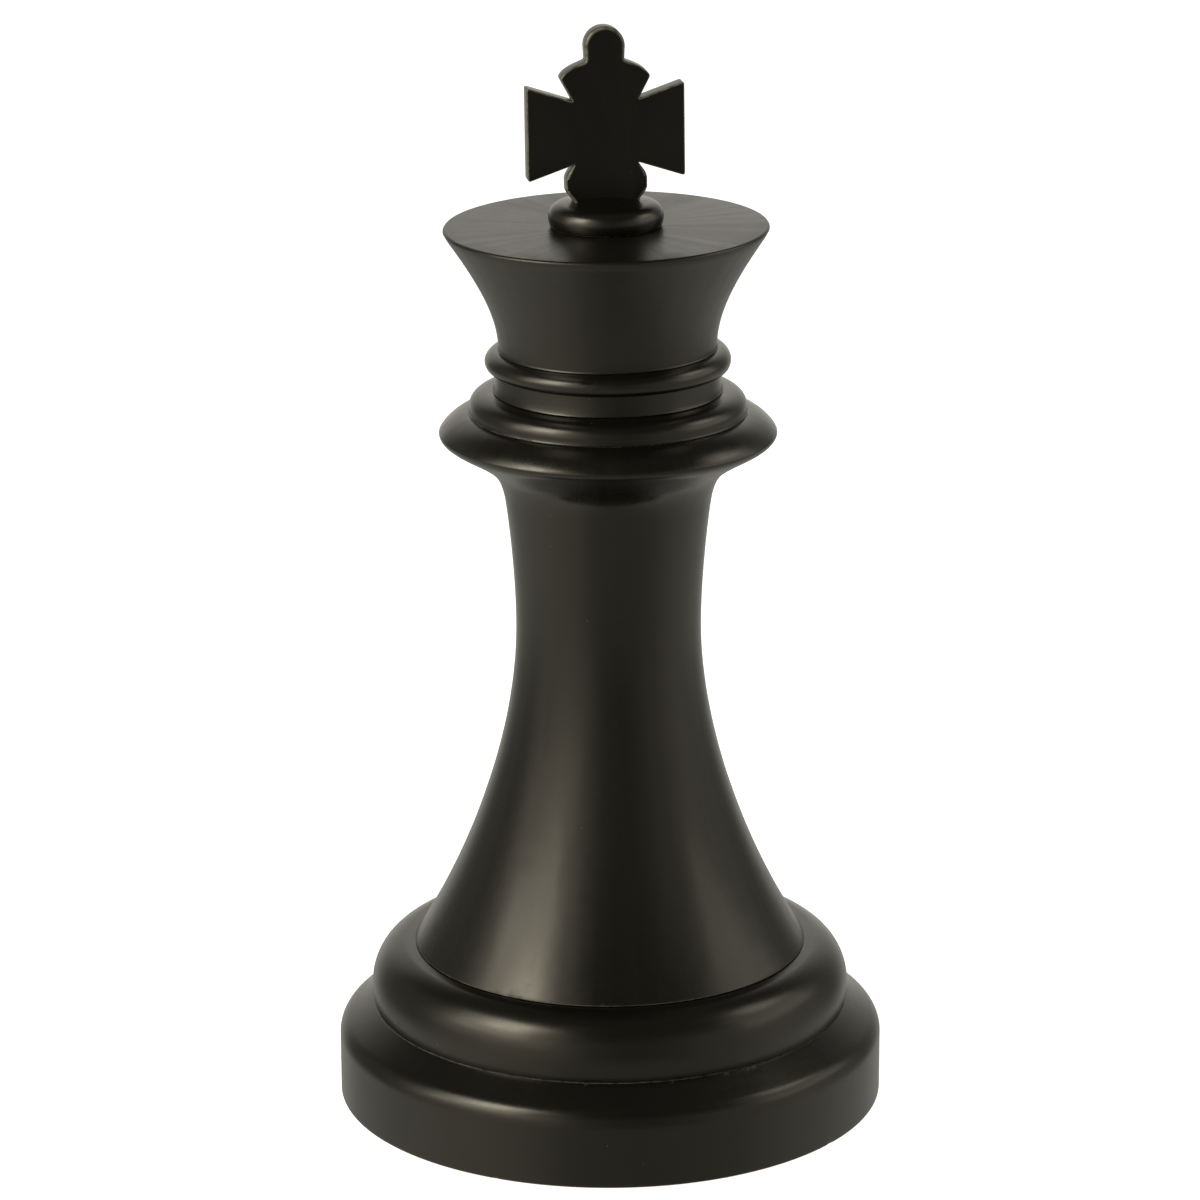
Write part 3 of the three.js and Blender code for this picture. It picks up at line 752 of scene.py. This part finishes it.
def crown():
    joint = CROWN_Z - LIFT
    upper = CROWN_TOP - LIFT
    low_edge = joint + SEAM
    floor = low_edge + WALL
    well = upper - WELL_DEPTH
    inner_foot = CROWN_FOOT_RADIUS - WALL
    rim = (CROWN_RADIUS - RIM, upper - RIM)
    flare = bezier((CROWN_FOOT_RADIUS, low_edge), (CROWN_FOOT_RADIUS, 468), (70.7, 487),
                   (CROWN_RADIUS - 1.9, upper - 5), 50)
    flat = [(WELL_RADIUS + (rim[0] - WELL_RADIUS) * t, upper) for t in (0.8, 0.6, 0.4, 0.2)]
    outline = [
        *toe(CROWN_FOOT_RADIUS, low_edge),
        *flare[1:],
        *arc(rim, RIM, RIM, 0, 90, 10),
        *flat,
        (WELL_RADIUS, upper, EDGE),
        (WELL_RADIUS, well),
        (6, well),
        (6, well - WALL),
        (WELL_RADIUS + WALL, well - WALL),
        (WELL_RADIUS + WALL, upper - WALL),
        *bezier((CROWN_RADIUS - 8, upper - WALL), (66, 488.5), (inner_foot, 471), (inner_foot, floor), 8),
        (CROWN_SPIGOT - SEAM - WALL, floor),
        (CROWN_SPIGOT - SEAM - WALL, joint - SPIGOT),
        (CROWN_SPIGOT - SEAM, joint - SPIGOT),
        (CROWN_SPIGOT - SEAM, low_edge),
    ]
    obj = turned("crown", raised(outline), FINE)
    hand_finish(obj, depth=0.08, seed=67.0)
    lean(obj)
    return finish_piece(obj, BODY, BLACK, TOP_LACQUER, "crown_shell")


# ---------------------------------------------------------------- finial
BUTTON_RADIUS = radius("finial_button") * 33 / 32.75  # its curve is drawn from just outside its widest point
CROSS_LOW = low("finial_cross")
CROSS_HALF_SPAN = radius("finial_cross")
CROSS_HALF_DEPTH = (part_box("finial_cross")[1].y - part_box("finial_cross")[0].y) / 2 / MM
CROSS_TOP = top("finial_cross")
FOOT_HALF_WIDTH = 18.5
KNOB_RADIUS = 11.5


def button():
    base = CROWN_TOP
    seat = low("finial_insert")
    outline = [
        (0, seat),
        (BUTTON_RADIUS - 3.2, seat),
        (BUTTON_RADIUS - 3.2, base + SEAM),
        (BUTTON_RADIUS - 1.5, base + SEAM, 0.4),
        *bezier((BUTTON_RADIUS - 0.9, base + 1.6), (BUTTON_RADIUS + 0.7, base + 6),
                (BUTTON_RADIUS, base + 12.6), (25, base + 14.1), 30),
        (18, base + 15.3),
        (11, base + 16.5),
        (5.5, base + 17.4),
        (2, base + 17.75),
        (0, base + 17.8),
    ]
    obj = turned("button", outline, 192)
    slot_top = base + 24
    slot_low = CROSS_LOW - SEAM
    slot = block((2 * (FOOT_HALF_WIDTH + SEAM), 2 * (CROSS_HALF_DEPTH + SEAM), slot_top - slot_low),
                 (0, 0, (slot_top + slot_low) / 2))
    bore = peg(radius("finial_insert") + SEAM, seat - 5, top("finial_insert") + SEAM)
    carve(obj, slot, bore)
    lean(obj)
    return finish_piece(obj, FINIAL, BLACK, LACQUER, "finial_button")


def half_cross():
    """Right half of the cross from its foot to its knob, above the crown's top: (x, height, ease)."""
    return [
        (FOOT_HALF_WIDTH, 13, 0.4),
        (FOOT_HALF_WIDTH, 15.2, 1.5),
        (23.1, 20.9, 2.2),
        (23.1, 30, 2.2),
        (18.3, 36.8, 0.7),
        (CROSS_HALF_SPAN, 27.8, 2.2),
        (CROSS_HALF_SPAN, 81.8, 2.0),
        (18.8, 73, 0.7),
        (25.8, 86.2, 1.8),
        (22.5, 89.9, 2.5),
        (18.1, 92.4, 2.5),
        (11, 95.4, 1.2),
    ]


def cross_outline():
    knob_centre = (0, CROSS_TOP - CROWN_TOP - KNOB_RADIUS)
    knob = arc(knob_centre, KNOB_RADIUS, KNOB_RADIUS, -5, 185, 48)
    right = half_cross()
    left = [(-x, z, ease) for x, z, ease in reversed(right)]
    return [point[:2] for point in eased([*right, *knob, *left], steps=6)]


ARM_EDGE = 0.9
FULLER_EDGE = 1.2  # added at the knob and the foot
MIDDLE_HALF_WIDTH = 23


def edge_round(x, height):
    """How round the cross's edge is: the knob and the foot are fuller than the arms."""
    if abs(x) >= MIDDLE_HALF_WIDTH:
        return ARM_EDGE
    to_knob = min(1.0, max(0.0, (height - 92) / 6))
    to_foot = min(1.0, max(0.0, (36 - height) / 4))
    return ARM_EDGE + FULLER_EDGE * max(to_knob, to_foot)


def cross():
    """The flat cross: its outline swept round each edge from the back face to the front."""
    outline = cross_outline()
    count = len(outline)
    inward = []
    for i in range(count):
        before = Vector(outline[i]) - Vector(outline[i - 1])
        after = Vector(outline[(i + 1) % count]) - Vector(outline[i])
        tangent = (before.normalized() + after.normalized()).normalized()
        inward.append(Vector((-tangent.y, tangent.x)))
    steps = 7
    rings = []
    vertices = []
    rubs_and_highlights = []
    for side in (-1, 1):
        order = range(steps, -1, -1) if side < 0 else range(steps + 1)
        for k in order:
            swing = math.pi / 2 * k / steps
            row = []
            for (x, z), normal in zip(outline, inward):
                edge = edge_round(x, z)
                inset = edge * (1 - math.cos(swing))
                depth = CROSS_HALF_DEPTH - edge + edge * math.sin(swing)
                row.append(len(vertices))
                # The crest of each rounded edge is marked for the pale lacquer: a painted edge highlight.
                rubs_and_highlights.append(math.sin(2 * swing))
                vertices.append((x + normal.x * inset, side * depth, CROWN_TOP + z + normal.y * inset))
            rings.append(row)
    faces = [tuple(rings[0])]
    for lower, upper in zip(rings, rings[1:]):
        for i in range(count):
            k = (i + 1) % count
            faces.append((lower[i], upper[i], upper[k], lower[k]))
    faces.append(tuple(reversed(rings[-1])))
    obj = smooth_mesh("cross", vertices, faces, rubs_and_highlights, 50)
    maker = bmesh.new()
    maker.from_mesh(obj.data)
    bmesh.ops.recalc_face_normals(maker, faces=maker.faces)
    big = [face for face in maker.faces if len(face.verts) > 4]
    bmesh.ops.triangulate(maker, faces=big, ngon_method="EAR_CLIP")
    maker.to_mesh(obj.data)
    maker.free()
    lean(obj)
    return finish_piece(obj, FINIAL, BLACK, CROSS_SHADED_LACQUER, "finial_cross")


# ---------------------------------------------------------------- hardware
def hex_nut(name, node):
    """A chamfered M10 nut."""
    base, roof = low(node), top(node)
    corner = 19.6 / 2
    inside = corner * 0.86
    outside = corner * 1.3
    flank = corner * 1.04
    solid = turned(name, [(0, base), (corner, base), (corner, roof), (0, roof)], 6)
    chamfer = turned("cutter", [
        (inside, base - 1),
        (outside, base - 1),
        (outside, roof + 1),
        (inside, roof + 1),
        (inside, roof + 0.2),
        (flank, roof - 1.6),
        (flank, base + 1.6),
        (inside, base - 0.2),
    ], 64)
    carve(solid, chamfer, peg(ROD_CLEAR, base - 1, roof + 1))
    lean(solid)
    return finish_piece(solid, BODY, "zinc_steel", STEEL, node)


def washer(name, node):
    base, roof, outer = low(node), top(node), radius(node)
    rim = [(outer, base, 0.3), (outer, roof, 0.3)]
    bore = [(ROD_CLEAR, roof, 0.2), (ROD_CLEAR, base, 0.2)]
    obj = turned(name, [*rim, *bore], 96)
    lean(obj)
    return finish_piece(obj, BODY, "zinc_steel", STEEL, node)


def threaded_rod():
    """A plain shank with M10 thread turns cut at both ends."""
    base, roof = low("tie_rod"), top("tie_rod")
    pitch = 1.5
    crest = 5.0
    root = 4.2
    foot = [(0, base), (root, base), (crest, base + 0.8)]
    tip = [(crest, roof - 1.0), (root, roof - 0.2), (0, roof)]
    shank = [(crest, z) for z in (LEAN_LOW - 5, LEAN_LOW, LEAN_LOW + 2, LEAN_HIGH - 2, LEAN_HIGH)]

    def thread(start):
        turns = []
        for i in range(16):
            z = start + pitch * i
            turns += [(root, z + pitch * 0.25), (crest, z + pitch * 0.75), (crest, z + pitch * 0.9)]
        return turns

    obj = turned("threaded_rod", [*foot, *thread(base + 1.0), *shank, *thread(roof - 26.0), *tip], 48)
    lean(obj)
    return finish_piece(obj, BODY, "zinc_steel", STEEL, "tie_rod")


def thread_insert():
    """The brass insert in the button, with knurled bands outside."""
    base, roof, outer = low("finial_insert"), top("finial_insert"), radius("finial_insert")
    bands = []
    for i in range(5):
        z = base + 1 + i * (roof - base - 2) / 5
        bands += [(outer, z, 0.2), (outer, z + 1.2, 0.2), (outer - 0.6, z + 1.4), (outer - 0.6, z + 1.7)]
    bore = [(ROD_CLEAR, roof, 0.4), (ROD_CLEAR, base, 0.4)]
    obj = turned("thread_insert", [(outer, base), *bands, (outer, roof, 0.3), *bore], 96)
    lean(obj)
    return finish_piece(obj, FINIAL, "brass", BRASS, "finial_insert")


def button_seal():
    """A flat rubber ring with a raised lip that the button closes on."""
    base, roof, outer = low("finial_seal"), top("finial_seal"), radius("finial_seal")
    inner = WELL_RADIUS + 2
    middle = (inner + outer) / 2
    flat = roof - 0.3
    obj = turned("button_seal", [
        (outer, base, 0.3),
        (outer, flat, 0.2),
        (middle + 1, flat),
        (middle, roof),
        (middle - 1, flat),
        (inner, flat, 0.2),
        (inner, base, 0.3),
    ], 128)
    lean(obj)
    return finish_piece(obj, "finial_carrier", "rubber", RUBBER, "finial_seal")


def dowel(number):
    """A fluted steel pin that holds the cross in the button."""
    node = f"cross_dowel_{number}"
    centre = (centre_of(node)[0], 0)
    base, roof, outer = low(node), top(node), radius(node)
    grooves = []
    for share in (0.25, 0.5, 0.75):
        z = base + (roof - base) * share
        grooves += [(outer, z - 0.4), (outer - 0.25, z), (outer, z + 0.4)]
    outline = [(0, base), (outer, base, 0.5), *grooves, (outer, roof, 0.5), (0, roof)]
    obj = turned(f"pin_{number}", outline, 32, centre)
    lean(obj)
    return finish_piece(obj, FINIAL, "zinc_steel", STEEL, node)


def wood_screw(number):
    """A countersunk screw with a cross recess."""
    node = f"base_screw_{number}"
    centre = centre_of(node)
    base, tip = low(node), top(node)
    head = [(0, base), (5, base, 0.2), (2.4, base + 2.7), (2.4, base + 7)]
    turns = []
    for i in range(12):
        z = base + 8 + 1.5 * i
        turns += [(1.7, z), (2.5, z + 0.8), (1.7, z + 1.1)]
    obj = turned(f"wood_screw_{number}", [*head, *turns, (1.5, tip - 3), (0, tip)], 40, centre)
    slots = [block(size, (*centre, base)) for size in ((6, 1.1, 3), (1.1, 6, 3))]
    carve(obj, *slots)
    return finish_piece(obj, BODY, "zinc_steel", STEEL, node)


# ---------------------------------------------------------------- underside
FILLER_CENTRE = centre_of("filler_plug")
BUSH_FLANGE_RADIUS = 24
BUSH_RADIUS = 20


def base_board():
    """The ply board, bored for the rod and the filler and countersunk for its screws."""
    base, roof, outer = low("base_board"), top("base_board"), PLINTH_RADIUS - WALL - 2 * SEAM
    obj = turned("base_board_panel", [(0, base), (outer, base, 0.8), (outer, roof), (0, roof)], 256)
    cutters = [
        peg(26, base - 2, top("lower_rod_plate") + SEAM, sides=96),
        peg(ROD_CLEAR, base - 2, roof + 2),
        peg(BUSH_FLANGE_RADIUS + SEAM, base - 2, base + 6, FILLER_CENTRE, 96),
        peg(BUSH_RADIUS + SEAM, base - 2, roof + 2, FILLER_CENTRE, 96),
    ]
    countersink = [(0, base - 1), (6.6, base - 1), (2.8, base + 3.2), (2.8, roof + 1), (0, roof + 1)]
    for number in SCREWS:
        cutters.append(turned("cutter", countersink, 32, centre_of(f"base_screw_{number}")))
    carve(obj, *cutters)
    return finish_piece(obj, BODY, "plywood", PLYWOOD, "base_board")


def ground_pad():
    """A ribbed rubber ring with rounded edges and a notch round the filler."""
    base, roof, outer = low("ground_pad"), top("ground_pad"), radius("ground_pad")
    inner = 40
    ribs = 12
    width = (outer - inner - 6) / ribs
    underside = [(inner, roof), (inner, base, 0.6)]
    for i in range(ribs - 1):
        x = inner + 3 + width * (i + 1)
        underside += [(x - 1.2, base), (x - 0.7, base + 0.6), (x + 0.7, base + 0.6), (x + 1.2, base)]
    obj = turned("ground_pad_rubber", [*underside, (outer, base, 0.6), (outer, roof)], 256)
    carve(obj, peg(27, base - 1, roof + 1, FILLER_CENTRE, 96))
    return finish_piece(obj, BODY, "rubber", RUBBER, "ground_pad")


def filler_bush():
    """The flanged bush that the filler plug screws into."""
    base, roof = low("filler_bush"), top("filler_bush")
    flange_top = base + 1.7
    obj = turned("filler_bush_moulding", [
        (BUSH_FLANGE_RADIUS, base, 0.5),
        (BUSH_FLANGE_RADIUS, flange_top),
        (BUSH_RADIUS, flange_top),
        (BUSH_RADIUS, roof),
        (16.3, roof),
        (16.3, base, 0.4),
    ], 96, FILLER_CENTRE)
    return finish_piece(obj, BODY, "black_moulding", MOULDING, "filler_bush")


def filler_plug():
    """A screw plug with a coin slot, a knurled edge and coarse thread turns."""
    base, roof, outer = low("filler_plug"), top("filler_plug"), radius("filler_plug")
    head_top = base + 2.3
    head = [(0, base), (outer, base, 0.7), (outer, head_top, 0.3), (15, head_top)]
    cup = [(15, roof, 0.6), (13, roof), (13, head_top + 1), (0, head_top + 1)]
    turns = []
    for i in range(3):
        z = head_top + 1.2 + 2.5 * i
        turns += [(15.0, z), (15.9, z + 0.9), (15.9, z + 1.3), (15.0, z + 2.0)]
    obj = turned("filler_plug_moulding", [*head, *turns, *cup], 120, FILLER_CENTRE)
    coin_slot = block((3, 30, 2.4), (*FILLER_CENTRE, base))
    knurl = outer + 0.4
    grips = []
    for i in range(24):
        angle = 2 * math.pi * i / 24
        spot = (FILLER_CENTRE[0] + knurl * math.cos(angle), FILLER_CENTRE[1] + knurl * math.sin(angle))
        grips.append(peg(1.2, base - 1, head_top - 0.4, spot, 16))
    carve(obj, coin_slot, *grips)
    return finish_piece(obj, "plug", "black_moulding", MOULDING, "filler_plug")


# ---------------------------------------------------------------- build
plinth()
base_ring()
stem()
upper_collar()
neck()
crown()
button()
cross()
hex_nut("upper_nut", "upper_rod_nut")
hex_nut("lower_nut", "lower_rod_nut")
washer("upper_washer", "upper_rod_washer")
washer("lower_plate", "lower_rod_plate")
threaded_rod()
thread_insert()
button_seal()
dowel(1)
dowel(2)
for screw_number in SCREWS:
    wood_screw(screw_number)
base_board()
ground_pad()
filler_bush()
filler_plug()

# The pieces inside keep their CAD shape and get their own material.
CARRIED_OVER = {
    "plug_seal": RUBBER,
    "fixing_ring": PLYWOOD, "ballast_lid": PLYWOOD, "stem_lower_disc": PLYWOOD, "stem_upper_disc": PLYWOOD,
    "plinth_peg_1": BEECH, "plinth_peg_2": BEECH, "stem_peg_1": BEECH, "stem_peg_2": BEECH,
    "sand_ballast": SAND,
}
for node_name, node_material in CARRIED_OVER.items():
    node_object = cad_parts[node_name]
    for material_slot in node_object.material_slots:
        material_slot.material = node_material


# ---------------------------------------------------------------- studio
CAMERA_BACK = 2.803
CAMERA_SIDE = -0.005
CAMERA_HEIGHT = 1.160
CAMERA_PITCH = 17.03
CAMERA_ROLL = 0.22
LENS = 151.9
STUDIO_CENTRE = (0, 0, 0.3)
WARMTH = (1.0, 0.975, 0.88)
CEILING_GLOW = (0.09, 0.088, 0.079)
FLOOR_EMISSION = 1.0
FLOOR_HALF = 8
# (degrees to the right of the camera, glow)
FLOOR_GLOW = ((-180, 0.38), (-140, 0.50), (-110, 0.68), (-75, 0.84), (-45, 0.76), (-15, 0.44), (15, 0.42),
              (45, 0.44), (85, 0.66), (115, 0.64), (145, 0.52), (180, 0.38))
WALL_GLOW = ((-180, 0.95), (-160, 0.75), (-135, 0.20), (-110, 0.25), (-75, 0.74), (-50, 1.0), (-28, 0.76),
             (-8, 0.30), (10, 0.20), (28, 0.26), (50, 0.50), (85, 0.74), (110, 0.50), (132, 0.22),
             (180, 0.95))


def make_camera():
    camera = bpy.data.objects.new("camera", bpy.data.cameras.new("camera"))
    bpy.context.scene.collection.objects.link(camera)
    camera.data.lens = LENS
    camera.data.sensor_width = 36
    camera.data.clip_end = 60
    camera.location = turn_to_view((CAMERA_SIDE, -CAMERA_BACK, CAMERA_HEIGHT))
    aim = (Matrix.Rotation(math.radians(VIEW_AZIMUTH), 3, "Z")
           @ Matrix.Rotation(math.radians(90 - CAMERA_PITCH), 3, "X")
           @ Matrix.Rotation(math.radians(-CAMERA_ROLL), 3, "Z"))
    camera.rotation_euler = aim.to_euler()
    bpy.context.scene.camera = camera


def softbox(name, azimuth, elevation, distance, size, power):
    """A rectangular lamp at an angle from the camera's own direction, facing the king."""
    a, e = math.radians(azimuth), math.radians(elevation)
    away = Vector((math.sin(a) * math.cos(e), -math.cos(a) * math.cos(e), math.sin(e)))
    lamp = bpy.data.lights.new(name, "AREA")
    lamp.shape = "RECTANGLE"
    lamp.size, lamp.size_y = size
    lamp.energy = power
    lamp.color = WARMTH
    holder = bpy.data.objects.new(name, lamp)
    bpy.context.scene.collection.objects.link(holder)
    holder.location = turn_to_view(away * distance) + Vector(STUDIO_CENTRE)
    holder.rotation_euler = turn_to_view(away).to_track_quat("Z", "Y").to_euler()


def glow_ramp(n, azimuth, stops):
    """How bright the studio is round the king; a stop is (degrees to the right of the camera, glow)."""
    ramp = n.add("ShaderNodeValToRGB")
    n.feed(ramp.inputs[0], azimuth)
    ramp.color_ramp.interpolation = "EASE"
    while len(ramp.color_ramp.elements) < len(stops):
        ramp.color_ramp.elements.new(0.5)
    for element, (degrees, glow) in zip(ramp.color_ramp.elements, stops):
        element.position = 0.5 + degrees / 360
        element.color = tuple(glow * share for share in WARMTH) + (1,)
    return ramp.outputs[0]


def make_world():
    """White behind the king for the camera; what the lacquer mirrors is a dim room with a lit floor."""
    world = bpy.data.worlds.new("studio")
    bpy.context.scene.world = world
    world.use_nodes = True
    n = Tree(world.node_tree)
    turn = n.add("ShaderNodeMapping")
    turn.inputs["Rotation"].default_value = (0, 0, math.radians(-VIEW_AZIMUTH))
    n.feed(turn.inputs["Vector"], n.add("ShaderNodeTexCoord").outputs["Generated"])
    parts = n.add("ShaderNodeSeparateXYZ")
    n.feed(parts.inputs[0], turn.outputs[0])
    right, away, up = parts.outputs

    angle = n.math("ARCTAN2", right, n.math("MULTIPLY", away, -1.0))
    azimuth = n.math("ADD", n.math("DIVIDE", angle, 2 * math.pi), 0.5)
    to_wall = n.remap(up, -0.45, -0.05, 0.0, 1.0, "SMOOTHSTEP")
    to_ceiling = n.remap(up, 0.38, 0.70, 0.0, 1.0, "SMOOTHSTEP")
    round_king = n.mix(to_wall, glow_ramp(n, azimuth, FLOOR_GLOW), glow_ramp(n, azimuth, WALL_GLOW))
    room = n.mix(to_ceiling, round_king, rgb(*CEILING_GLOW))
    camera_ray = n.add("ShaderNodeLightPath").outputs["Is Camera Ray"]
    n.feed(n.tree.nodes["Background"].inputs["Color"], n.mix(camera_ray, room, rgb(1, 1, 1)))


def make_floor():
    """A pale sweep that the camera sees from above and looks through from below."""
    mesh = bpy.data.meshes.new("floor")
    corners = [(x * FLOOR_HALF, y * FLOOR_HALF, 0) for x, y in ((-1, -1), (1, -1), (1, 1), (-1, 1))]
    mesh.from_pydata(corners, [], [(0, 1, 2, 3)])
    obj = new_object("floor", mesh)
    n = Nodes("floor_looks")
    n.set(color=rgb(0.8, 0.8, 0.8), roughness=0.9, specular=0.0)
    n.shader.inputs["Emission Color"].default_value = rgb(1, 1, 1)
    n.shader.inputs["Emission Strength"].default_value = FLOOR_EMISSION
    see_through = n.add("ShaderNodeBsdfTransparent")
    either = n.add("ShaderNodeMixShader")
    n.feed(either.inputs[0], n.add("ShaderNodeNewGeometry").outputs["Backfacing"])
    n.feed(either.inputs[1], n.shader.outputs[0])
    n.feed(either.inputs[2], see_through.outputs[0])
    n.feed(n.tree.nodes["Material Output"].inputs["Surface"], either.outputs[0])
    obj.data.materials.append(n.material)
    obj.visible_glossy = False
    obj.visible_diffuse = False
    obj.visible_shadow = False


def make_studio():
    make_world()
    make_floor()
    softbox("key_left", -58, 38, 1.8, (0.6, 0.75), 9)
    softbox("key_left_frame", -61, 32, 1.85, (1.3, 1.3), 12)
    softbox("key_left_spill", -58, 24, 1.9, (2.2, 1.7), 7)
    softbox("fill_right", 92, 26, 1.8, (1.5, 1.1), 4)
    softbox("fill_right_top", 98, 42, 1.75, (0.6, 0.5), 1.8)
    bpy.context.scene.view_settings.view_transform = "Standard"


make_camera()
make_studio()
